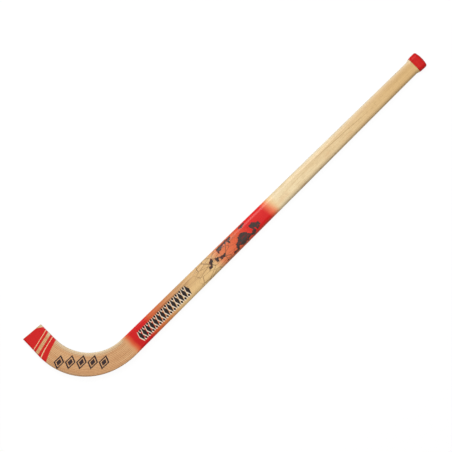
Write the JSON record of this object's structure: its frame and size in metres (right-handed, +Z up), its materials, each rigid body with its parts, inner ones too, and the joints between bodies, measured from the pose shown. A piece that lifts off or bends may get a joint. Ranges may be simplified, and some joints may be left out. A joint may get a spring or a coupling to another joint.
{
  "type": "roller hockey stick",
  "caption": "Rink hockey stick: curved laminated wooden blade turned through a quarter circle, straight tapered wooden shaft with a flared butt, and a push-on rubber cap.",
  "frame": {"origin": "centre of the stick's box, at the bottom, where the stick lies on its flat side", "axes": "+X runs up the shaft from the blade to the butt, +Y is the side that the toe turns to, +Z is up, square to the flat side"},
  "size_m": [0.9634, 0.181, 0.0205],
  "materials": {
    "beech": "clear gloss varnish over bent beech veneers",
    "ash": "clear gloss varnish over straight-grained ash, with a printed band near the blade",
    "red_rubber": "satin moulded rubber"
  },
  "bodies": {
    "stick": {"blade_lamina_01": "beech", "blade_lamina_02": "beech", "blade_lamina_03": "beech", "blade_lamina_04": "beech", "blade_lamina_05": "beech", "blade_lamina_06": "beech", "blade_lamina_07": "beech", "blade_lamina_08": "beech", "blade_lamina_09": "beech", "blade_lamina_10": "beech", "blade_lamina_11": "beech", "blade_lamina_12": "beech", "blade_lamina_13": "beech", "blade_lamina_14": "beech", "blade_lamina_15": "beech", "blade_lamina_16": "beech", "shaft": "ash"},
    "cap": {"butt_cap": "red_rubber"}
  },
  "joints": [
    {"name": "cap_pull", "type": "slide", "parent": "stick", "child": "cap", "axis": [1, 0, 0], "range_m": [0, 0.03]}
  ]
}
